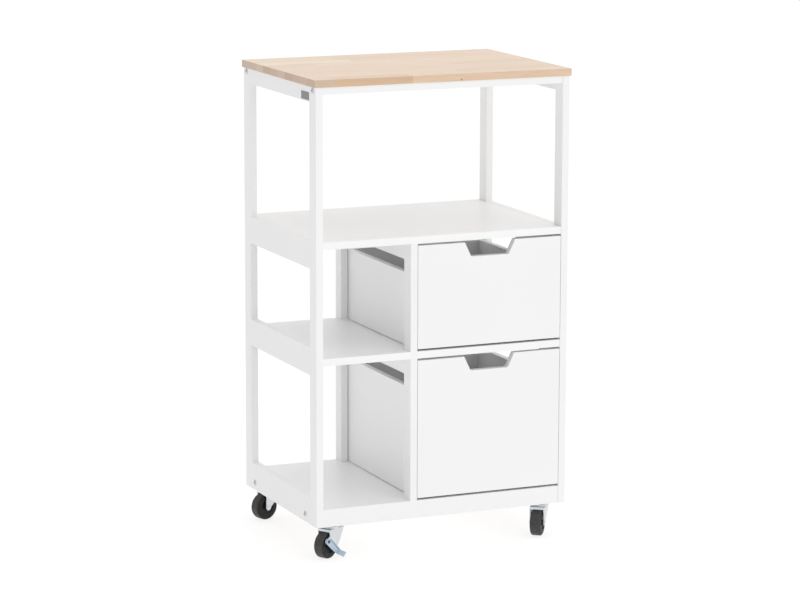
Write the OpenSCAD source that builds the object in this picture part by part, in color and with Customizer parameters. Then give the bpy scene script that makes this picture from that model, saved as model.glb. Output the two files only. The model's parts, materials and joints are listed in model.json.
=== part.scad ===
// Wheeled kitchen trolley with a butcher-block worktop.
// A white panel frame holds one wide upper shelf, a narrow left bay with two open
// shelves, and a wider right bay with two deep inset drawers. Four swivel casters.
// Units are millimetres. +Z is up, the front faces -Y, the floor is Z = 0.

/* [Frame] */
// Width over the two side frames
frame_w = 564; // [500:1:640]
// Depth of the side frames
frame_d = 404; // [360:1:450]
// Height from the frame's underside to the underside of the top board
frame_h = 904; // [820:1:980]
// Thickness of every painted panel
panel_t = 15; // [12:1:18]
// Width of the front and back stiles of a side frame
stile_w = 34.5; // [25:0.5:45]
// Height of the side frames' top rail
top_rail_h = 32; // [25:1:45]

/* [Top board] */
// Thickness of the butcher-block board
board_t = 15; // [12:1:25]
// How far the board stands out past the frame on every side
board_over = 3; // [0:0.5:15]

/* [Shelf levels] */
// Top face of the wide upper shelf over the frame's underside
upper_top = 590; // [540:1:640]
// Top face of the middle shelves
middle_top = 351; // [320:1:380]
// Top face of the bottom shelf
bottom_top = 37; // [30:1:50]
// Underside of the side rail at the upper shelf
upper_rail_bottom = 533; // [500:1:560]
// Underside of the side rail at the middle shelf
middle_rail_bottom = 313; // [290:1:330]
// Top of the side rail at the middle shelf
middle_rail_top = 369; // [355:1:390]
// Top of the side frames' bottom rail
bottom_rail_top = 57; // [45:1:70]

/* [Divider] */
// Centre of the upright divider, from the middle of the trolley
divider_x = -66; // [-90:0.5:-40]
// Width of the divider's front post
divider_front_w = 34; // [25:1:45]
// Width of the divider's back post
divider_back_w = 30; // [25:1:45]
// Height of each divider rail below a shelf
divider_rail_h = 36; // [25:1:50]

/* [Drawers] */
// Gap at each side of a drawer front
front_gap_x = 1; // [0.75:0.25:4]
// Gap above and below a drawer front
front_gap_z = 4.5; // [2:0.25:6]
// Thickness of the drawer sides and back
box_t = 12; // [9:0.5:15]
// Thickness of the drawer bottom
box_bottom_t = 4; // [3:0.5:6]
// How far a drawer's side stays below the shelf over it
box_drop = 70; // [40:1:110]
// Y of the outer face of the drawer's back panel
box_back_y = 182; // [120:1:185]
// Width of the finger notch at the top edge
notch_top_w = 114; // [90:1:140]
// Width of the finger notch at its floor
notch_low_w = 85; // [60:1:120]
// Depth of the finger notch
notch_d = 30; // [20:1:40]
// Radius in the notch's lower corners
notch_r = 5; // [2:0.5:10]
// Travel of a drawer
drawer_travel = 250; // [150:5:300]

/* [Casters] */
// Height of a caster, floor to mounting face
caster_h = 70; // [60:1:80]
// Wheel radius
wheel_r = 28; // [20:0.5:29]
// Wheel width over the tread
wheel_w = 23; // [16:0.5:24]
// Offset of the axle from the swivel axis
trail = 18; // [12:0.5:24]
// Swivel axis from the middle, sideways
caster_x = 238; // [200:1:250]
// Swivel axis from the middle, front to back
caster_y = 172; // [140:1:180]
// Heading of the front left wheel, from the front towards the left
heading_fl = 59; // [-180:1:180]
// Heading of the front right wheel
heading_fr = 38.5; // [-180:0.5:180]
// Heading of the back left wheel
heading_bl = 72; // [-180:1:180]
// Heading of the back right wheel
heading_br = 48; // [-180:1:180]

/* [Fasteners] */
// Radius of the domed bolt heads on the side frames
bolt_head_r = 6; // [4:0.5:8]
// Radius of the wooden dowels
dowel_r = 4; // [3:0.5:5]

/* [Hidden] */
$fn = 64;
fit = 0.05;
z0 = caster_h;
half_w = frame_w / 2;
half_d = frame_d / 2;
inner_x = half_w - panel_t;
board_z = z0 + frame_h;
zu = z0 + upper_top;
zm = z0 + middle_top;
zb = z0 + bottom_top;
div_l = divider_x - panel_t / 2;
div_r = divider_x + panel_t / 2;

// Window limits in a side frame, low Z and high Z of each
win_low = [z0 + bottom_rail_top, z0 + middle_rail_bottom];
win_mid = [z0 + middle_rail_top, z0 + upper_rail_bottom];
win_high = [zu, board_z - top_rail_h];
win_r = 2.5;

// Top strips and bottom rails between the side frames
strip_depth = 50;
batten_w = 60;
batten_h = bottom_top - panel_t;

// Screws that hold the top board, under the strips
board_screw_r = 2;
board_screw_head_r = 4;
board_screw_x = [-220, 0, 220];
board_screw_y = half_d - 30;
board_screw_in = 10;

// Bolts in each side frame: [y, z]
bolt_r = 3;
bolt_len = 45;
bolt_head_h = 2;
bolt_spots = [
  [-half_d + 17, board_z - panel_t / 2],
  [half_d - 17, board_z - panel_t / 2],
  [-half_d + 63, z0 + batten_h / 2 + 5],
  [half_d - 53, z0 + batten_h / 2 + 5]
];

// Dowels along X at the panel ends: [low x, high x, y, z]
dowel_in = 10;
dowel_out = 20;
shelf_y = [-120, 120];
end_zs = [zu - panel_t / 2, zm - panel_t / 2, zb - panel_t / 2];

// Blank plate on the left side frame's top rail
plate_len = 40;
plate_tall = 16;
plate_t = 0.8;

// Drawer sizes, shared by both drawers
front_x0 = div_r + front_gap_x;
front_x1 = inner_x - front_gap_x;
front_w = front_x1 - front_x0;
front_mid = (front_x0 + front_x1) / 2;
side_in = 1.5;
side_y0 = -half_d + panel_t;
side_len = box_back_y - side_y0;
groove_up = 7;
groove_in = 6;
glide_t = 1.2;
glide_len = 24;
lift = 1.5;
box_dowel_r = 3;

// Each drawer: [shelf top below, shelf underside above]
bay_up = [zm, zu - panel_t];
bay_low = [zb, zm - panel_t];

// Caster details
plate_w = 46;
plate_d = 40;
plate_thick = 2;
race_r = 16;
race_h = 2.2;
run_gap = 0.3;
crown_t = 2;
crown_h = 4;
crown_r = 17;
lip_t = 1.5;
lip_h = 5;
fork_y0 = -24;
fork_y1 = 23;
leg_in = 13.9;
leg_t = 2;
axle_r = 3;
axle_z = wheel_r;
hub_r = 16;
hub_w = 27;
king_r = 3;
king_head_r = 5.5;
leg_out = leg_in + leg_t;
race_low = caster_h - plate_thick - race_h;
crown_top = race_low - run_gap;
fork_top = crown_top - crown_h;
king_low = fork_top - crown_t - run_gap - 2;
screw_x = 17;
screw_y = 11.5;

// Brake lever: its pivot, as Y and Z in front of the right-hand leg
pivot = [-31.5, 39.5];
pivot_r = 2.5;
lug_r = 7;
lever_end_r = 8;
lever_x = leg_out + 1.2;
lever_t = 1.5;

// ---------- shared helpers ----------

// A box given by its two corners
module box(a, b) {
  translate(a) cube(b - a);
}

// A cylinder along X
module rod_x(x0, x1, y, z, r) {
  translate([x0, y, z]) rotate([0, 90, 0]) cylinder(r = r, h = x1 - x0);
}

// A cylinder along Y
module rod_y(y0, y1, x, z, r) {
  translate([x, y0, z]) rotate([-90, 0, 0]) cylinder(r = r, h = y1 - y0);
}

// A flat outline with rounded corners, in the Y-Z plane
module round_rect(y0, y1, za, zb2, r) {
  translate([y0 + r, za]) square([y1 - y0 - 2 * r, zb2 - za]);
  translate([y0, za + r]) square([y1 - y0, zb2 - za - 2 * r]);
  for (y = [y0 + r, y1 - r], z = [za + r, zb2 - r]) {
    translate([y, z]) circle(r = r);
  }
}

// Stands a Y-Z outline up as a panel between two X values
module panel_yz(x0, x1) {
  translate([x0, 0, 0]) rotate([90, 0, 90]) linear_extrude(x1 - x0) children();
}

// ---------- dowels of the frame ----------

// Dowels from a shelf's end into a side frame, on one side
module end_dowels(side, r) {
  xa = side * inner_x;
  x0 = side < 0 ? xa - dowel_in : xa - dowel_out;
  x1 = side < 0 ? xa + dowel_out : xa + dowel_in;
  for (z = end_zs, y = shelf_y) {
    rod_x(x0, x1, y, z, r);
  }
  for (s = [-1, 1]) {
    rod_x(x0, x1, s * (half_d - panel_t / 2), z0 + 12, r);
  }
}

// Dowels through the divider, shared by the two middle shelves
module divider_dowels(r) {
  for (y = shelf_y) {
    rod_x(div_l - dowel_out, div_r + dowel_out, y, zm - panel_t / 2, r);
  }
}

// Upright dowels at the divider's ends
module upright_dowels(r) {
  for (y = [-half_d + 25, half_d - 22]) {
    translate([divider_x, y, zb - 10]) cylinder(r = r, h = 30);
    translate([divider_x, y, zu - panel_t - 20]) cylinder(r = r, h = 30);
  }
}

module all_frame_dowels(r) {
  end_dowels(-1, r);
  end_dowels(1, r);
  divider_dowels(r);
  upright_dowels(r);
}

// ---------- top board ----------

module board_screw_holes(r) {
  for (x = board_screw_x, s = [-1, 1]) {
    translate([x, s * board_screw_y, board_z - panel_t - 1])
      cylinder(r = r, h = panel_t + 1 + board_screw_in);
  }
}

module butcher_block_top() {
  color("BurlyWood")
  difference() {
    box([-half_w - board_over, -half_d - board_over, board_z],
        [half_w + board_over, half_d + board_over, board_z + board_t]);
    board_screw_holes(board_screw_r + fit);
  }
}

module top_board_screws() {
  color("Silver")
  for (x = board_screw_x, s = [-1, 1]) {
    translate([x, s * board_screw_y, board_z - panel_t]) {
      cylinder(r1 = board_screw_head_r, r2 = board_screw_r, h = 2.5);
      cylinder(r = board_screw_r, h = panel_t + board_screw_in);
    }
  }
}

// ---------- side frames ----------

// Holes for the bolts of one side, from outside inwards
module bolt_holes(side) {
  for (p = bolt_spots) {
    x0 = side < 0 ? -half_w - 1 : half_w - bolt_len;
    rod_x(x0, x0 + bolt_len + 1, p[0], p[1], bolt_r + fit);
  }
}

module side_frame(side) {
  x0 = side < 0 ? -half_w : inner_x;
  difference() {
    panel_yz(x0, x0 + panel_t)
      difference() {
        translate([-half_d, z0]) square([frame_d, frame_h]);
        for (w = [win_low, win_mid, win_high]) {
          round_rect(-half_d + stile_w, half_d - stile_w, w[0], w[1], win_r);
        }
      }
    bolt_holes(side);
    end_dowels(side, dowel_r + fit);
  }
}

module left_side_frame() {
  color("WhiteSmoke") side_frame(-1);
}

module right_side_frame() {
  color("WhiteSmoke") side_frame(1);
}

// Domed bolts with a hexagon socket
module side_bolts(side) {
  for (p = bolt_spots) {
    translate([side * half_w, p[0], p[1]]) rotate([0, side * 90, 0]) {
      difference() {
        union() {
          cylinder(r = bolt_head_r, h = bolt_head_h * 0.4);
          translate([0, 0, bolt_head_h * 0.4])
            cylinder(r1 = bolt_head_r, r2 = bolt_head_r * 0.6, h = bolt_head_h * 0.6);
        }
        translate([0, 0, 0.6]) cylinder(r = 2.3, h = bolt_head_h, $fn = 6);
      }
      translate([0, 0, -bolt_len]) cylinder(r = bolt_r, h = bolt_len);
    }
  }
}

module side_bolts_left() {
  color("Silver") side_bolts(-1);
}

module side_bolts_right() {
  color("Silver") side_bolts(1);
}

module blank_plate() {
  color("Gray")
  box([-half_w - plate_t, -half_d + 36, board_z - 29],
      [-half_w, -half_d + 36 + plate_len, board_z - 29 + plate_tall]);
}

// ---------- divider ----------

module centre_divider() {
  y0 = -half_d + divider_front_w;
  y1 = half_d - divider_back_w;
  color("WhiteSmoke")
  difference() {
    box([div_l, -half_d, zb], [div_r, half_d, zu - panel_t]);
    panel_yz(div_l - 1, div_r + 1)
      round_rect(y0, y1, zm, zu - panel_t - divider_rail_h, win_r);
    box([div_l - 1, y0, zb - 1], [div_r + 1, y1, zm - panel_t - divider_rail_h]);
    divider_dowels(dowel_r + fit);
    upright_dowels(dowel_r + fit);
  }
}

// ---------- shelves, strips, rails, battens ----------

module upper_shelf() {
  color("White")
  difference() {
    box([-inner_x, -half_d, zu - panel_t], [inner_x, half_d, zu]);
    all_frame_dowels(dowel_r + fit);
  }
}

module left_middle_shelf() {
  color("White")
  difference() {
    box([-inner_x, -half_d, zm - panel_t], [div_l, half_d, zm]);
    end_dowels(-1, dowel_r + fit);
    divider_dowels(dowel_r + fit);
  }
}

module right_middle_shelf() {
  color("White")
  difference() {
    box([div_r, -half_d, zm - panel_t], [inner_x, half_d, zm]);
    end_dowels(1, dowel_r + fit);
    divider_dowels(dowel_r + fit);
  }
}

module bottom_shelf() {
  color("White")
  difference() {
    box([-inner_x, -half_d + panel_t, zb - panel_t],
        [inner_x, half_d - panel_t, zb]);
    all_frame_dowels(dowel_r + fit);
  }
}

module top_strip(side) {
  y0 = side < 0 ? -half_d : half_d - strip_depth;
  difference() {
    box([-inner_x, y0, board_z - panel_t], [inner_x, y0 + strip_depth, board_z]);
    board_screw_holes(board_screw_r + fit);
    for (x = board_screw_x) {
      translate([x, side * board_screw_y, board_z - panel_t - fit])
        cylinder(r1 = board_screw_head_r + fit, r2 = board_screw_r, h = 2.5 + fit);
    }
    bolt_holes(-1);
    bolt_holes(1);
  }
}

module front_top_strip() {
  color("WhiteSmoke") top_strip(-1);
}

module back_top_strip() {
  color("WhiteSmoke") top_strip(1);
}

module bottom_rail(side) {
  y0 = side < 0 ? -half_d : half_d - panel_t;
  difference() {
    box([-inner_x, y0, z0], [inner_x, y0 + panel_t, zb]);
    end_dowels(-1, dowel_r + fit);
    end_dowels(1, dowel_r + fit);
  }
}

module front_bottom_rail() {
  color("WhiteSmoke") bottom_rail(-1);
}

module back_bottom_rail() {
  color("WhiteSmoke") bottom_rail(1);
}

// Holes for the casters' mounting screws, and for the kingpins' upper ends
module caster_screw_holes(r) {
  for (x = [-caster_x, caster_x], y = [-caster_y, caster_y]) {
    for (dx = [-screw_x, screw_x], dy = [-screw_y, screw_y]) {
      translate([x + dx, y + dy, z0 - 3]) cylinder(r = r, h = 19);
    }
  }
}

module caster_batten(side) {
  x0 = side < 0 ? -inner_x : inner_x - batten_w;
  difference() {
    box([x0, -half_d + panel_t, z0], [x0 + batten_w, half_d - panel_t, z0 + batten_h]);
    bolt_holes(side);
    caster_screw_holes(1.8 + fit);
  }
}

module left_caster_batten() {
  color("Wheat") caster_batten(-1);
}

module right_caster_batten() {
  color("Wheat") caster_batten(1);
}

module frame_dowels() {
  color("Tan") all_frame_dowels(dowel_r);
}

// ---------- drawers ----------

// Outline of the finger notch below its top edge at Z = 0, lower corners rounded
module notch_outline() {
  rise = notch_d;
  run = (notch_top_w - notch_low_w) / 2;
  slant = sqrt(rise * rise + run * run);
  cx = notch_low_w / 2 - notch_r * (slant - run) / rise;
  cz = -notch_d + notch_r;
  tx = cx + notch_r * rise / slant;
  tz = cz - notch_r * run / slant;
  polygon([
    [-notch_top_w / 2 - 1, 1],
    [-notch_top_w / 2, 0],
    [-tx, tz],
    [-cx, -notch_d],
    [cx, -notch_d],
    [tx, tz],
    [notch_top_w / 2, 0],
    [notch_top_w / 2 + 1, 1]
  ]);
  for (x = [-cx, cx]) {
    translate([x, cz]) circle(r = notch_r);
  }
}

// The front panel with its finger notch; bay = [low z, high z] of the opening
module drawer_front(bay) {
  za = bay[0] + front_gap_z;
  zt = bay[1] - front_gap_z;
  difference() {
    translate([0, -half_d + panel_t, 0]) rotate([90, 0, 0]) linear_extrude(panel_t)
      difference() {
        translate([front_x0, za]) square([front_w, zt - za]);
        translate([front_mid, zt]) notch_outline();
      }
    drawer_dowels(bay, box_dowel_r + fit);
  }
}

module drawer_bottom_board(bay, grow) {
  z = bay[0] + lift + groove_up;
  box([front_x0 + side_in + box_t - groove_in, side_y0, z - grow],
      [front_x1 - side_in - box_t + groove_in, box_back_y - box_t + groove_in,
       z + box_bottom_t + grow]);
}

module drawer_side(bay, side) {
  x0 = side < 0 ? front_x0 + side_in : front_x1 - side_in - box_t;
  difference() {
    box([x0, side_y0, bay[0] + lift], [x0 + box_t, box_back_y, bay[1] - box_drop]);
    drawer_bottom_board(bay, 0);
    drawer_dowels(bay, box_dowel_r + fit);
  }
}

module drawer_back(bay) {
  difference() {
    box([front_x0 + side_in + box_t, box_back_y - box_t, bay[0] + lift],
        [front_x1 - side_in - box_t, box_back_y, bay[1] - box_drop]);
    drawer_bottom_board(bay, 0);
    drawer_dowels(bay, box_dowel_r + fit);
  }
}

// Nylon glides under the two sides, near the front and near the back
module drawer_glides(bay) {
  for (x = [front_x0 + side_in, front_x1 - side_in - box_t]) {
    for (y = [side_y0 + 12, box_back_y - 12 - glide_len]) {
      box([x + 0.5, y, bay[0] + lift - glide_t],
          [x + box_t - 0.5, y + glide_len, bay[0] + lift]);
    }
  }
}

// Dowels from the sides into the front, and from the sides into the back
module drawer_dowels(bay, r) {
  zlow = bay[0] + 40;
  zhigh = bay[1] - box_drop - 30;
  for (x = [front_x0 + side_in + box_t / 2, front_x1 - side_in - box_t / 2]) {
    for (z = [zlow, zhigh]) {
      rod_y(side_y0 - 9, side_y0 + 20, x, z, r);
    }
  }
  for (s = [-1, 1], z = [zlow, zhigh]) {
    xa = s < 0 ? front_x0 + side_in + 4 : front_x1 - side_in - 29;
    rod_x(xa, xa + 25, box_back_y - box_t / 2, z, r);
  }
}

module drawer_upper_front() {
  color("White") drawer_front(bay_up);
}

module drawer_upper_left_side() {
  color("Gainsboro") drawer_side(bay_up, -1);
}

module drawer_upper_right_side() {
  color("Gainsboro") drawer_side(bay_up, 1);
}

module drawer_upper_back() {
  color("Gainsboro") drawer_back(bay_up);
}

module drawer_upper_bottom() {
  color("LightGray") drawer_bottom_board(bay_up, 0);
}

module drawer_upper_glides() {
  color("DimGray") drawer_glides(bay_up);
}

module drawer_upper_dowels() {
  color("Tan") drawer_dowels(bay_up, box_dowel_r);
}

module drawer_lower_front() {
  color("White") drawer_front(bay_low);
}

module drawer_lower_left_side() {
  color("Gainsboro") drawer_side(bay_low, -1);
}

module drawer_lower_right_side() {
  color("Gainsboro") drawer_side(bay_low, 1);
}

module drawer_lower_back() {
  color("Gainsboro") drawer_back(bay_low);
}

module drawer_lower_bottom() {
  color("LightGray") drawer_bottom_board(bay_low, 0);
}

module drawer_lower_glides() {
  color("DimGray") drawer_glides(bay_low);
}

module drawer_lower_dowels() {
  color("Tan") drawer_dowels(bay_low, box_dowel_r);
}

// ---------- casters: parts fixed to the frame ----------

// Puts its children at each of the four swivel axes
module at_casters() {
  for (x = [-caster_x, caster_x], y = [-caster_y, caster_y]) {
    translate([x, y, 0]) children();
  }
}

module caster_plates() {
  color("Silver")
  at_casters()
  difference() {
    union() {
      translate([0, 0, z0 - plate_thick]) linear_extrude(plate_thick)
        plate_outline(plate_w, plate_d, 4);
      translate([0, 0, race_low]) cylinder(r = race_r, h = race_h);
    }
    translate([0, 0, race_low - 1]) cylinder(r = king_r, h = plate_thick + race_h + 2);
    for (dx = [-screw_x, screw_x], dy = [-screw_y, screw_y]) {
      translate([dx, dy, z0 - plate_thick - 1]) cylinder(r = 1.8 + fit, h = 5);
    }
  }
}

// A centred flat rectangle with rounded corners
module plate_outline(w, d, r) {
  square([w - 2 * r, d], center = true);
  square([w, d - 2 * r], center = true);
  for (x = [-w / 2 + r, w / 2 - r], y = [-d / 2 + r, d / 2 - r]) {
    translate([x, y]) circle(r = r);
  }
}

module caster_plate_screws() {
  color("LightGray")
  at_casters()
  for (dx = [-screw_x, screw_x], dy = [-screw_y, screw_y]) {
    translate([dx, dy, z0 - plate_thick - 1.3]) {
      cylinder(r1 = 2.4, r2 = 3.4, h = 1.3);
      cylinder(r = 1.8, h = 17);
    }
  }
}

module caster_kingpins() {
  color("LightGray")
  at_casters() {
    translate([0, 0, king_low]) cylinder(r = king_head_r, h = 2);
    translate([0, 0, king_low + 1]) cylinder(r = king_r, h = z0 - king_low - 1);
  }
}

// ---------- casters: parts that swivel ----------

// Corner signs: front left, front right, back left, back right
module place_caster(sx, sy, heading) {
  translate([sx * caster_x, sy * caster_y, 0]) rotate([0, 0, -heading]) children();
}

// Side outline of a fork leg: wide under the top, narrow at the axle. The braked
// leg is broad behind and has a lug in front for the lever's pivot.
module leg_outline(braked) {
  difference() {
    union() {
      polygon([
        [fork_y1, fork_top],
        [fork_y0, fork_top],
        [-trail - 6.6, axle_z],
        [-trail + 6.6, axle_z]
      ]);
      translate([-trail, axle_z]) circle(r = 6.6);
      if (braked) {
        polygon([
          [fork_y1, fork_top],
          [-trail, fork_top],
          [-trail - 3, axle_z - 4],
          [2, axle_z - 2],
          [7, axle_z + 3]
        ]);
        translate(pivot) circle(r = lug_r);
        polygon([
          [pivot[0] + 1, pivot[1] + lug_r],
          [pivot[0] + 1, pivot[1] - lug_r],
          [-trail, axle_z - 3],
          [-trail, pivot[1] + lug_r + 4]
        ]);
      }
    }
    translate([-trail, axle_z]) circle(r = axle_r);
    if (braked) {
      translate(pivot) circle(r = pivot_r);
    }
  }
}

module fork(braked) {
  difference() {
    union() {
      box([-leg_out, fork_y0, fork_top - crown_t], [leg_out, fork_y1, fork_top]);
      box([-leg_out, fork_y0, fork_top - lip_h], [leg_out, fork_y0 + lip_t, fork_top]);
      translate([0, 0, fork_top - crown_t]) cylinder(r = crown_r, h = crown_t + crown_h);
      panel_yz(-leg_out, -leg_in) leg_outline(false);
      panel_yz(leg_in, leg_out) leg_outline(braked);
    }
    translate([0, 0, fork_top - crown_t - 1])
      cylinder(r = king_r + 0.08, h = crown_t + crown_h + 2);
  }
}

// Rivet that carries a wheel
module axle() {
  rod_x(-leg_out, leg_out, -trail, axle_z, axle_r);
  rod_x(-leg_out - 0.8, -leg_out, -trail, axle_z, 4.6);
  rod_x(leg_out, leg_out + 0.8, -trail, axle_z, 4.6);
}

// Hub of a wheel, turned about the axle
module hub() {
  translate([0, -trail, axle_z]) rotate([0, 90, 0])
  rotate_extrude() polygon([
    [axle_r + 0.06, -hub_w / 2],
    [axle_r + 3, -hub_w / 2],
    [axle_r + 4, -wheel_w / 2 + 2.5],
    [hub_r, -wheel_w / 2 + 1.5],
    [hub_r, wheel_w / 2 - 1.5],
    [axle_r + 4, wheel_w / 2 - 2.5],
    [axle_r + 3, hub_w / 2],
    [axle_r + 0.06, hub_w / 2]
  ]);
}

// Tyre with a nearly flat tread and rounded shoulders
module tyre() {
  shoulder = 4.5;
  bore = hub_r + 0.02;
  translate([0, -trail, axle_z]) rotate([0, 90, 0])
  rotate_extrude() {
    translate([bore, -wheel_w / 2]) square([wheel_r - shoulder - bore, wheel_w]);
    translate([bore, -wheel_w / 2 + shoulder])
      square([wheel_r - bore, wheel_w - 2 * shoulder]);
    for (s = [-1, 1]) {
      translate([wheel_r - shoulder, s * (wheel_w / 2 - shoulder)]) circle(r = shoulder);
    }
  }
}

// Stud on the right-hand leg that the brake lever turns on
module lever_stud() {
  end = lever_x + lever_t + run_gap;
  rod_x(leg_in + 0.1, end, pivot[0], pivot[1], pivot_r);
  rod_x(end, end + 0.8, pivot[0], pivot[1], 3.2);
}

// Stamped brake lever: a broad arm with a turned-out rib, pedal bent out at its end
module lever_arm() {
  low = [-2.5, 7.2];
  high = [6.1, 14.9];
  difference() {
    union() {
      panel_yz(lever_x, lever_x + lever_t) {
        translate(pivot) circle(r = lever_end_r);
        polygon([
          [pivot[0] - 5.6, pivot[1] - 5.6],
          [-16.3, 16.6],
          low,
          high,
          [-7.6, 29.5],
          [pivot[0] + 5.4, pivot[1] + 5.9]
        ]);
      }
      translate([lever_x, pivot[0] + 6.2, pivot[1] + 5.2]) rotate([-43.5, 0, 0])
        box([0, 2, -lever_t], [3.6, 40, 0]);
      translate([lever_x, low[0], low[1]]) rotate([41.8, 0, 0]) rotate([0, 25, 0])
        box([0, 0, 0], [15.5, 11.5, lever_t]);
    }
    rod_x(lever_x - 1, lever_x + lever_t + 5, pivot[0], pivot[1], pivot_r + 0.08);
  }
}

module fork_front_left() {
  color("LightSteelBlue") place_caster(-1, -1, heading_fl) fork(true);
}

module fork_front_right() {
  color("LightSteelBlue") place_caster(1, -1, heading_fr) fork(false);
}

module fork_back_left() {
  color("LightSteelBlue") place_caster(-1, 1, heading_bl) fork(false);
}

module fork_back_right() {
  color("LightSteelBlue") place_caster(1, 1, heading_br) fork(false);
}

module axle_front_left() {
  color("Silver") place_caster(-1, -1, heading_fl) axle();
}

module axle_front_right() {
  color("Silver") place_caster(1, -1, heading_fr) axle();
}

module axle_back_left() {
  color("Silver") place_caster(-1, 1, heading_bl) axle();
}

module axle_back_right() {
  color("Silver") place_caster(1, 1, heading_br) axle();
}

module hub_front_left() {
  color("DimGray") place_caster(-1, -1, heading_fl) hub();
}

module hub_front_right() {
  color("DimGray") place_caster(1, -1, heading_fr) hub();
}

module hub_back_left() {
  color("DimGray") place_caster(-1, 1, heading_bl) hub();
}

module hub_back_right() {
  color("DimGray") place_caster(1, 1, heading_br) hub();
}

module tyre_front_left() {
  color("Black") place_caster(-1, -1, heading_fl) tyre();
}

module tyre_front_right() {
  color("Black") place_caster(1, -1, heading_fr) tyre();
}

module tyre_back_left() {
  color("Black") place_caster(-1, 1, heading_bl) tyre();
}

module tyre_back_right() {
  color("Black") place_caster(1, 1, heading_br) tyre();
}

module brake_pin() {
  color("Silver") place_caster(-1, -1, heading_fl) lever_stud();
}

module brake_lever() {
  color("SteelBlue") place_caster(-1, -1, heading_fl) lever_arm();
}

// ---------- drawing ----------

butcher_block_top();
left_side_frame();
right_side_frame();
centre_divider();
upper_shelf();
left_middle_shelf();
right_middle_shelf();
bottom_shelf();
front_top_strip();
back_top_strip();
front_bottom_rail();
back_bottom_rail();
left_caster_batten();
right_caster_batten();
side_bolts_left();
side_bolts_right();
frame_dowels();
top_board_screws();
blank_plate();
caster_plates();
caster_plate_screws();
caster_kingpins();
fork_front_left();
fork_front_right();
fork_back_left();
fork_back_right();
axle_front_left();
axle_front_right();
axle_back_left();
axle_back_right();
hub_front_left();
hub_front_right();
hub_back_left();
hub_back_right();
tyre_front_left();
tyre_front_right();
tyre_back_left();
tyre_back_right();
brake_pin();
brake_lever();
drawer_upper_front();
drawer_upper_left_side();
drawer_upper_right_side();
drawer_upper_back();
drawer_upper_bottom();
drawer_upper_glides();
drawer_upper_dowels();
drawer_lower_front();
drawer_lower_left_side();
drawer_lower_right_side();
drawer_lower_back();
drawer_lower_bottom();
drawer_lower_glides();
drawer_lower_dowels();
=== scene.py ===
import json
import math

import bpy
from mathutils import Matrix, Vector

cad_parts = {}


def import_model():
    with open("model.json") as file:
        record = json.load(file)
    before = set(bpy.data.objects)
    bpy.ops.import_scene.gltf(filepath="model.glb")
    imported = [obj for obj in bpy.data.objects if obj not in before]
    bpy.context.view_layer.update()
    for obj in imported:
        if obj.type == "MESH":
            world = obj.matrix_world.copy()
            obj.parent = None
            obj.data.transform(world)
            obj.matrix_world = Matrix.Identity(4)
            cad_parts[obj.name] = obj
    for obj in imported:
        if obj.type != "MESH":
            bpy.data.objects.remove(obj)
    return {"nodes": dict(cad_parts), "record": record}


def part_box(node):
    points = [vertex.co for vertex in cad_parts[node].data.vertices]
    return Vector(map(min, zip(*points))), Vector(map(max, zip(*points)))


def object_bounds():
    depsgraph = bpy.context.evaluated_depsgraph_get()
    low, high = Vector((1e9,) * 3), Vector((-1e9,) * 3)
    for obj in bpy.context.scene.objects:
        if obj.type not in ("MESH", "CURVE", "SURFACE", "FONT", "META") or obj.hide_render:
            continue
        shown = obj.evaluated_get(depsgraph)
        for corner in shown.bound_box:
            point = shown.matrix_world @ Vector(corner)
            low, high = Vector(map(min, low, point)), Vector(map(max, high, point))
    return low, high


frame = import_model()
cad_low, cad_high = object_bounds()
NODES = frame["nodes"]
MM = 0.001

CORNERS = ("front_left", "front_right", "back_left", "back_right")


# ---------------------------------------------------------------- shaders

class Shader:
    """A Principled material with short calls for adding and linking nodes."""

    def __init__(self, name, color, rough, metallic=0.0):
        self.mat = bpy.data.materials.new(name)
        self.mat.use_nodes = True
        self.tree = self.mat.node_tree
        self.bsdf = self.tree.nodes["Principled BSDF"]
        self.set("Base Color", (*color, 1.0))
        self.set("Roughness", rough)
        self.set("Metallic", metallic)
        self.mat.diffuse_color = (*color, 1.0)

    def set(self, socket, value):
        target = self.bsdf.inputs[socket]
        if isinstance(value, bpy.types.NodeSocket):
            self.tree.links.new(value, target)
        else:
            target.default_value = value

    def add(self, kind, inputs=None, out=0, **props):
        n = self.tree.nodes.new(kind)
        for key, value in props.items():
            setattr(n, key, value)
        for key, value in (inputs or {}).items():
            if isinstance(value, bpy.types.NodeSocket):
                self.tree.links.new(value, n.inputs[key])
            else:
                n.inputs[key].default_value = value
        return n.outputs[out]

    def math(self, op, a, b=0.0, c=0.0):
        return self.add("ShaderNodeMath", {0: a, 1: b, 2: c}, operation=op)

    def coords(self, scale=(1, 1, 1)):
        tex = self.tree.nodes.new("ShaderNodeTexCoord")
        return self.add("ShaderNodeMapping", {"Vector": tex.outputs["Object"], "Scale": scale})

    def noise(self, vector, scale, detail=2.0, rough=0.5, distort=0.0):
        return self.add(
            "ShaderNodeTexNoise",
            {"Vector": vector, "Scale": scale, "Detail": detail,
             "Roughness": rough, "Distortion": distort},
        )

    def span(self, value, low, high, a=0.0, b=1.0):
        """Maps value from a..b to low..high."""
        return self.add(
            "ShaderNodeMapRange",
            {"Value": value, "From Min": a, "From Max": b, "To Min": low, "To Max": high},
        )

    def mix(self, fac, a, b, blend="MIX"):
        n = self.tree.nodes.new("ShaderNodeMix")
        n.data_type = "RGBA"
        n.blend_type = blend
        for socket, value in ((n.inputs[0], fac), (n.inputs[6], a), (n.inputs[7], b)):
            if isinstance(value, bpy.types.NodeSocket):
                self.tree.links.new(value, socket)
            else:
                socket.default_value = value if socket == n.inputs[0] else (*value, 1.0)
        return n.outputs[2]

    def bump(self, height, strength, distance):
        inputs = {"Height": height, "Strength": strength, "Distance": distance}
        return self.add("ShaderNodeBump", inputs)


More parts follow.
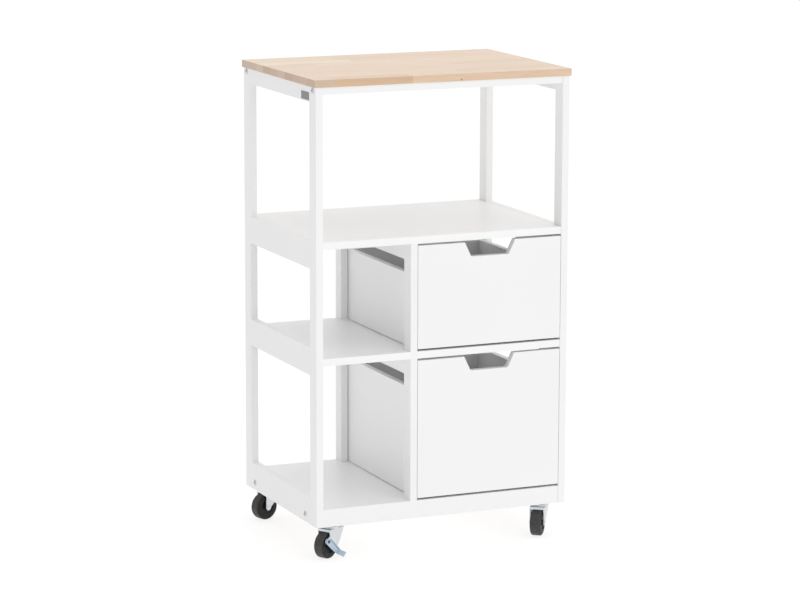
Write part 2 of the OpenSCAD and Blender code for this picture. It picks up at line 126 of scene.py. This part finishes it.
# noise scales of the paint, in cycles per metre
DRIFT_SCALE = 5.0
SHEEN_SCALE = 9.0
WAVE_SCALE = 14.0
# painted shade at a seam: how dark it gets, and the distances from the seam over which it
# fades
SEAM_SHADE = 0.42
SEAM_NEAR, SEAM_FAR = 0.0003, 0.0013


def paint(name, color, rough=0.36, seam=0.0):
    """Satin paint over MDF: faint tone drift, slight waviness, uneven sheen.

    seam is the X, right of the middle, where a panel butts against the side frame; near it the
    paint is darkened as painted shade in the joint.
    The roughness stays above 0.3: test renders where its noise reached down to
    0.24 showed faint rings.
    """
    s = Shader(name, color, rough)
    at = s.coords()
    drift = s.noise(at, DRIFT_SCALE, 0.0)
    low = tuple(c * 0.985 for c in color)
    high = tuple(min(1.0, c * 1.012) for c in color)
    coat = s.mix(s.span(drift, 0, 1, 0.1, 0.9), low, high)
    if seam:
        split = s.tree.nodes.new("ShaderNodeSeparateXYZ")
        s.tree.links.new(at, split.inputs[0])
        # painted shade: the paint darkens within about a millimetre of the seam, as if the
        # joint lay in shade
        near = s.math("SUBTRACT", seam, split.outputs[0])
        joint = s.span(near, 0.8, 0.0, SEAM_NEAR, SEAM_FAR)
        coat = s.mix(joint, coat, tuple(c * SEAM_SHADE for c in color))
    s.set("Base Color", coat)
    sheen = s.noise(at, SHEEN_SCALE, 2.0)
    s.set("Roughness", s.span(sheen, rough - 0.04, rough + 0.08, 0.1, 0.9))
    s.set("Normal", s.bump(s.noise(at, WAVE_SCALE, 0.0), 0.02, 0.4 * MM))
    s.set("Specular IOR Level", 0.45)
    return s.mat


def zinc(name, color, rough=0.33, tint=(0.80, 0.78, 0.66)):
    """Stamped, bright-plated steel: fine spangle, rolling marks, uneven sheen."""
    s = Shader(name, color, rough, 1.0)
    at = s.coords()
    spangle = s.add(
        "ShaderNodeTexVoronoi", {"Vector": at, "Scale": 420.0}, out=1, feature="F1"
    )
    cloud = s.noise(at, 55.0, 4.0, 0.6)
    marks = s.noise(s.coords((1, 1, 26)), 160.0, 3.0, 0.6)
    base = s.mix(s.span(cloud, 0, 0.30, 0.45, 0.75), color, tint)
    grey = tuple(c * 0.90 for c in color)
    base = s.mix(s.span(spangle, 0, 0.45), base, grey)
    s.set("Base Color", base)
    s.set("Roughness", s.span(marks, rough - 0.03, rough + 0.12, 0.3, 0.7))
    s.set("Normal", s.bump(cloud, 0.25, 0.6 * MM))
    return s.mat


def rubber(name, color, rough, axle):
    """Hard black wheel compound: dusty, scuffed tread and cleaner, darker sides."""
    s = Shader(name, color, rough)
    at = s.coords()
    scuff = s.noise(at, 220.0, 5.0, 0.65)
    dusty = tuple(min(1.0, c * 1.9 + 0.012) for c in color)
    tread = s.mix(s.span(scuff, 0, 0.6, 0.45, 0.75), color, dusty)
    facing = s.add(
        "ShaderNodeVectorMath",
        {0: s.tree.nodes.new("ShaderNodeTexCoord").outputs["Normal"], 1: axle},
        out=1, operation="DOT_PRODUCT",
    )
    side = s.span(s.math("ABSOLUTE", facing), 0.0, 1.0, 0.55, 0.90)
    dark = tuple(c * 0.18 for c in color)
    s.set("Base Color", s.mix(side, tread, dark))
    s.set("Roughness", s.span(s.noise(at, 90.0, 4.0), rough - 0.12, rough + 0.12, 0.3, 0.7))
    s.set("Specular IOR Level", 0.35)
    return s.mat


def plain_grain(name, light, dark, rough=0.5):
    """Bare softwood or beech, grain along Y, for battens and dowels."""
    s = Shader(name, light, rough)
    grain = s.noise(s.coords((60, 4, 60)), 3.0, 5.0, 0.6, 0.6)
    s.set("Base Color", s.mix(s.span(grain, 0, 1, 0.35, 0.65), light, dark))
    s.set("Normal", s.bump(grain, 0.2, 0.5 * MM))
    return s.mat


STAVE_W = 0.041
STAVE_L = 0.300
# keeps the board's back face inside the last row; its front face becomes a row of its own
ROW_INSET = 0.0002
# zigzags of a finger joint per metre, counting each side of a tooth, and their depth
FINGERS = 230.0
FINGER_DEPTH = 0.008
# an offset that keeps the distance along a row above zero
ALONG_START = 2.0
# a face counts as turned to an axis when its normal's part along the axis is above this
FACING = 0.75
# the front edge's one knot, and where its first and second blocks end on X
KNOT = (0.036, -0.205, 0.977)
FIRST_JOINT = -0.238
SECOND_JOINT = -0.065
BOARD_HALF_D = (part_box("butcher_block_top")[1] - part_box("butcher_block_top")[0])[1] / 2


def butcher_block(name):
    """Oiled finger-jointed staves along X: a tone per block, grain, end grain at the ends."""
    s = Shader(name, (0.80, 0.62, 0.42), 0.42)
    tex = s.tree.nodes.new("ShaderNodeTexCoord")
    place = tex.outputs["Object"]
    normal = tex.outputs["Normal"]
    split = s.tree.nodes.new("ShaderNodeSeparateXYZ")
    s.tree.links.new(place, split.inputs[0])
    x, y = split.outputs[0], split.outputs[1]
    # stave row across the board, counted from the front
    across = s.math("DIVIDE", s.math("ADD", y, BOARD_HALF_D - ROW_INSET), STAVE_W)
    row = s.math("FLOOR", across)
    shift = s.add("ShaderNodeTexWhiteNoise", {"W": row}, noise_dimensions="1D")
    # zigzag of a finger joint where two blocks of a row meet
    teeth = s.math("PINGPONG", s.math("MULTIPLY", y, FINGERS), 1.0)
    zig = s.math("MULTIPLY", teeth, FINGER_DEPTH)
    joint_x = s.math("ADD", x, zig)
    along = s.math("ADD", joint_x, s.math("MULTIPLY", shift, STAVE_L))
    blocks = s.math("DIVIDE", s.math("ADD", along, ALONG_START), STAVE_L)
    block = s.math("FLOOR", blocks)
    ident = s.tree.nodes.new("ShaderNodeCombineXYZ")
    s.tree.links.new(row, ident.inputs[0])
    s.tree.links.new(block, ident.inputs[1])
    chance = s.tree.nodes.new("ShaderNodeTexWhiteNoise")
    chance.noise_dimensions = "3D"
    s.tree.links.new(ident.outputs[0], chance.inputs["Vector"])
    tone, hue = chance.outputs["Value"], chance.outputs["Color"]
    # every block reads its own part of the grain noise
    offset = s.add("ShaderNodeVectorMath", {0: hue, 1: (7.0, 5.0, 3.0)}, operation="MULTIPLY")
    moved = s.add("ShaderNodeVectorMath", {0: place, 1: offset}, operation="ADD")
    long_map = s.add("ShaderNodeMapping", {"Vector": moved, "Scale": (2.2, 34.0, 34.0)})
    figure = s.noise(long_map, 3.2, 4.0, 0.55, 0.9)
    fine_map = s.add("ShaderNodeMapping", {"Vector": moved, "Scale": (9.0, 260.0, 260.0)})
    fine = s.noise(fine_map, 4.0, 4.0, 0.6, 0.2)
    pore_map = s.add("ShaderNodeMapping", {"Vector": moved, "Scale": (30.0, 420.0, 420.0)})
    pores = s.span(s.noise(pore_map, 6.0, 2.0, 0.5), 0.0, 1.0, 0.66, 0.78)
    # long-grain colour
    pale = s.mix(tone, (0.93, 0.765, 0.585), (0.79, 0.585, 0.395))
    warm = s.mix(s.math("FRACT", s.math("MULTIPLY", tone, 7.31)), pale, (0.86, 0.62, 0.46))
    wood = s.mix(s.span(figure, 0.0, 0.42, 0.40, 0.68), warm, (0.70, 0.49, 0.31))
    wood = s.mix(s.span(fine, 0.0, 0.30, 0.42, 0.70), wood, (0.66, 0.46, 0.30))
    wood = s.mix(s.math("MULTIPLY", pores, 0.35), wood, (0.44, 0.29, 0.18))
    # along the front face the short first block is greyer; the second is darker and warmer,
    # there and, less so, on the rest of the front row
    facing = s.tree.nodes.new("ShaderNodeSeparateXYZ")
    s.tree.links.new(normal, facing.inputs[0])
    at_front = s.math("LESS_THAN", facing.outputs[1], -FACING)
    before_first = s.math("LESS_THAN", joint_x, FIRST_JOINT)
    first = s.math("MULTIPLY", at_front, before_first)
    wood = s.mix(s.math("MULTIPLY", first, 0.6), wood, (0.60, 0.475, 0.385))
    front_row = s.math("LESS_THAN", row, 0.5)
    in_second = s.math("SUBTRACT", s.math("LESS_THAN", joint_x, SECOND_JOINT), before_first)
    second = s.math("MULTIPLY", front_row, in_second)
    amount = s.math("MULTIPLY", second, s.span(at_front, 0.6, 1.0))
    wood = s.mix(amount, wood, (0.88, 0.81, 0.74), "MULTIPLY")
    # end grain: each block shows its own part of one set of rings, darker and pinker
    ring_in = s.add("ShaderNodeMapping", {"Vector": moved, "Scale": (0.0, 1.0, 1.0)})
    rings = s.add(
        "ShaderNodeTexWave",
        {"Vector": ring_in, "Scale": 160.0, "Distortion": 9.0, "Detail": 3.0,
         "Detail Scale": 1.4},
        wave_type="RINGS", rings_direction="X",
    )
    end = s.mix(tone, (0.72, 0.56, 0.445), (0.58, 0.42, 0.315))
    end = s.mix(s.math("MULTIPLY", rings, 0.40), end, (0.42, 0.27, 0.19))
    is_end = s.math("GREATER_THAN", s.math("ABSOLUTE", facing.outputs[0]), FACING)
    # the knot is low on the front edge, small and dark
    knot = s.add(
        "ShaderNodeVectorMath", {0: place, 1: KNOT}, out=1, operation="DISTANCE"
    )
    wood = s.mix(s.span(knot, 0.85, 0.0, 0.0008, 0.0026), wood, (0.20, 0.12, 0.08))
    colour = s.mix(is_end, wood, end)
    # thin dark glue lines along staves and at the fingers
    edge_y = s.math("ABSOLUTE", s.math("SUBTRACT", s.math("FRACT", across), 0.5))
    line_y = s.span(edge_y, 0.0, 1.0, 0.490, 0.499)
    edge_x = s.math("ABSOLUTE", s.math("SUBTRACT", s.math("FRACT", blocks), 0.5))
    line_x = s.span(edge_x, 0.0, 1.0, 0.4978, 0.4995)
    line = s.math("MAXIMUM", line_y, line_x)
    colour = s.mix(s.math("MULTIPLY", line, 0.38), colour, (0.36, 0.23, 0.14))
    # the top is painted a little paler, as painted light on the upward faces, and the unseen
    # underside is unoiled
    over = s.math("GREATER_THAN", facing.outputs[2], FACING)
    colour = s.mix(s.math("MULTIPLY", over, 0.16), colour, (0.97, 0.93, 0.87))
    under = s.math("LESS_THAN", facing.outputs[2], -FACING)
    colour = s.mix(s.math("MULTIPLY", under, 0.75), colour, (0.80, 0.775, 0.74))
    s.set("Base Color", colour)
    s.set("Roughness", s.span(fine, 0.36, 0.52, 0.35, 0.65))
    relief = s.math("ADD", s.math("MULTIPLY", fine, 0.6), s.math("MULTIPLY", pores, -0.6))
    relief = s.math("SUBTRACT", relief, s.math("MULTIPLY", line, 0.5))
    s.set("Normal", s.bump(relief, 0.22, 0.4 * MM))
    s.set("Specular IOR Level", 0.4)
    return s.mat


WHITE = (0.880, 0.881, 0.882)
SHELF = (0.905, 0.906, 0.907)
SEAM_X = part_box("upper_shelf")[1][0]
MATERIAL = {
    "wood": butcher_block("butcher_block"),
    "painted_panel": paint("white_panel_paint", WHITE),
    "painted_shelf": paint("white_shelf_paint", SHELF, seam=SEAM_X),
    "strip": paint("white_strip_paint", WHITE, seam=SEAM_X),
    "drawer_front": paint("white_front_paint", WHITE),
    # the drawer boxes get a lighter white than the panels, as painted light on the drawer
    # sides inside the shaded bays
    "drawer_box": paint("white_melamine_painted_light", (0.92, 0.92, 0.92), 0.38),
    "drawer_bottom": paint("white_hardboard", (0.78, 0.78, 0.77), 0.45),
    "raw_wood": plain_grain("bare_pine", (0.66, 0.48, 0.30), (0.50, 0.33, 0.18)),
    "zinc_bolt": zinc("zinc_bolt", (0.60, 0.61, 0.63)),
    "zinc_plate": zinc("zinc_stamping", (0.70, 0.73, 0.765)),
    "brake_steel": zinc("blue_zinc", (0.49, 0.59, 0.69), tint=(0.76, 0.79, 0.76)),
    "blank_plate": paint("grey_plate", (0.21, 0.215, 0.22), 0.38),
    "nylon": paint("nylon", (0.76, 0.76, 0.74), 0.40),
}
SLOT_OF = {p["node"]: p["material_slot"] for p in frame["record"]["subparts"]}
for joint in frame["record"]["behaviour"]["joints"]:
    if joint["name"].endswith("_spin"):
        corner = joint["name"][len("wheel_"):-len("_spin")]
        turn_axis = tuple(joint["axis"])
        MATERIAL["tyre_" + corner] = rubber(
            "rubber_" + corner, (0.040, 0.041, 0.041), 0.52, turn_axis
        )
        MATERIAL["hub_" + corner] = rubber(
            "hub_plastic_" + corner, (0.014, 0.014, 0.015), 0.42, turn_axis
        )
for name in ("front_top_strip", "back_top_strip", "front_bottom_rail", "back_bottom_rail"):
    MATERIAL[name] = MATERIAL["strip"]
# the caster plates are made dark steel as painted shade in the race gap under the frame
MATERIAL["caster_plates"] = zinc("race_painted_shade", (0.16, 0.165, 0.17), 0.40, (0.10, 0.10, 0.10))
MATERIAL["brake_pin"] = zinc("dark_rivet", (0.10, 0.13, 0.17), 0.35, (0.14, 0.15, 0.16))
for name, obj in NODES.items():
    obj.data.materials.clear()
    obj.data.materials.append(MATERIAL.get(name) or MATERIAL[SLOT_OF[name]])


# ---------------------------------------------------------------- shapes

def ease(obj, width, segments=3, angle=40.0):
    """Rounds the sharp edges of a CAD node with modifiers only."""
    weld = obj.modifiers.new("weld", "WELD")
    weld.merge_threshold = 0.01 * MM
    bevel = obj.modifiers.new("bevel", "BEVEL")
    bevel.width = width
    bevel.segments = segments
    bevel.limit_method = "ANGLE"
    bevel.angle_limit = math.radians(angle)
    bevel.miter_outer = "MITER_ARC"
    normals = obj.modifiers.new("normals", "WEIGHTED_NORMAL")
    normals.keep_sharp = True


PANELS = [n for n in NODES if SLOT_OF[n] in ("painted_panel", "painted_shelf")]
for name in PANELS:
    ease(NODES[name], 0.7 * MM)
for name in NODES:
    if SLOT_OF[name] in ("drawer_front", "drawer_box"):
        ease(NODES[name], 0.6 * MM)
ease(NODES["butcher_block_top"], 1.8 * MM, 4)
for corner in CORNERS:
    ease(NODES["fork_" + corner], 0.5 * MM, 3)
    ease(NODES["axle_" + corner], 0.3 * MM, 2)
ease(NODES["brake_lever"], 0.4 * MM, 3)
ease(NODES["caster_plates"], 0.3 * MM, 2)


# ---------------------------------------------------------------- floor, light, camera

FLOOR_HALF = 60.0
FLOOR_DROP = 0.2 * MM


def floor():
    """A pale floor that gives off light, so that it blends into the white surroundings."""
    h = FLOOR_HALF
    mesh = bpy.data.meshes.new("floor")
    mesh.from_pydata([(-h, -h, 0), (h, -h, 0), (h, h, 0), (-h, h, 0)], [], [(0, 1, 2, 3)])
    obj = bpy.data.objects.new("floor", mesh)
    bpy.context.scene.collection.objects.link(obj)
    s = Shader("pale_floor", (0.25, 0.25, 0.25), 0.9)
    s.set("Specular IOR Level", 0.0)
    s.set("Emission Color", (1.0, 1.0, 1.0, 1.0))
    s.set("Emission Strength", 0.80)
    mesh.materials.append(s.mat)
    obj.location.z = float(cad_low[2]) - FLOOR_DROP


def area_light(name, at, toward, size, power):
    data = bpy.data.lights.new(name, "AREA")
    data.shape = "RECTANGLE"
    data.size, data.size_y = size
    data.energy = power
    obj = bpy.data.objects.new(name, data)
    obj.location = at
    obj.rotation_mode = "QUATERNION"
    aim = Vector(toward) - Vector(at)
    obj.rotation_quaternion = aim.to_track_quat("-Z", "Y")
    bpy.context.scene.collection.objects.link(obj)


def world(strength, left):
    """Even white surroundings, dimmer towards the trolley's left."""
    w = bpy.data.worlds.new("studio")
    bpy.context.scene.world = w
    w.use_nodes = True
    tree = w.node_tree
    back = tree.nodes["Background"]
    back.inputs["Color"].default_value = (1.0, 1.0, 1.0, 1.0)
    coords = tree.nodes.new("ShaderNodeTexCoord")
    split = tree.nodes.new("ShaderNodeSeparateXYZ")
    span = tree.nodes.new("ShaderNodeMapRange")
    span.interpolation_type = "SMOOTHSTEP"
    span.inputs["From Min"].default_value = -1.0
    span.inputs["From Max"].default_value = 0.1
    span.inputs["To Min"].default_value = left
    span.inputs["To Max"].default_value = strength
    tree.links.new(coords.outputs["Generated"], split.inputs[0])
    tree.links.new(split.outputs[0], span.inputs["Value"])
    tree.links.new(span.outputs[0], back.inputs["Strength"])


# the camera fitted to the photograph: place in metres, angles in radians, film in millimetres
CAMERA_AT = (-2.6392, -6.0429, 1.7253)
CAMERA_YAW = 0.4104
CAMERA_PITCH = 0.1853
CAMERA_ROLL = 0.0026
CAMERA_LENS = 143.1
CAMERA_SENSOR = 36.0


def camera():
    """Front left, above the worktop, looking slightly down."""
    level = math.cos(CAMERA_PITCH)
    forward = Vector((math.sin(CAMERA_YAW) * level, math.cos(CAMERA_YAW) * level,
                      -math.sin(CAMERA_PITCH)))
    side = Vector((math.cos(CAMERA_YAW), -math.sin(CAMERA_YAW), 0.0))
    over = side.cross(forward)
    right = side * math.cos(CAMERA_ROLL) + over * math.sin(CAMERA_ROLL)
    up = over * math.cos(CAMERA_ROLL) - side * math.sin(CAMERA_ROLL)
    data = bpy.data.cameras.new("camera")
    data.sensor_width = CAMERA_SENSOR
    data.lens = CAMERA_LENS
    data.clip_start = 0.1
    data.clip_end = 200.0
    obj = bpy.data.objects.new("camera", data)
    turn = Matrix((right, up, -forward)).transposed()
    obj.matrix_world = Matrix.Translation(CAMERA_AT) @ turn.to_4x4()
    bpy.context.scene.collection.objects.link(obj)
    bpy.context.scene.camera = obj


floor()
world(strength=1.03, left=0.60)
area_light("key", at=(1.2, -4.5, 2.6), toward=(0.0, 0.0, 0.6), size=(3.5, 2.5), power=14.0)
camera()
bpy.context.scene.view_settings.view_transform = "Standard"
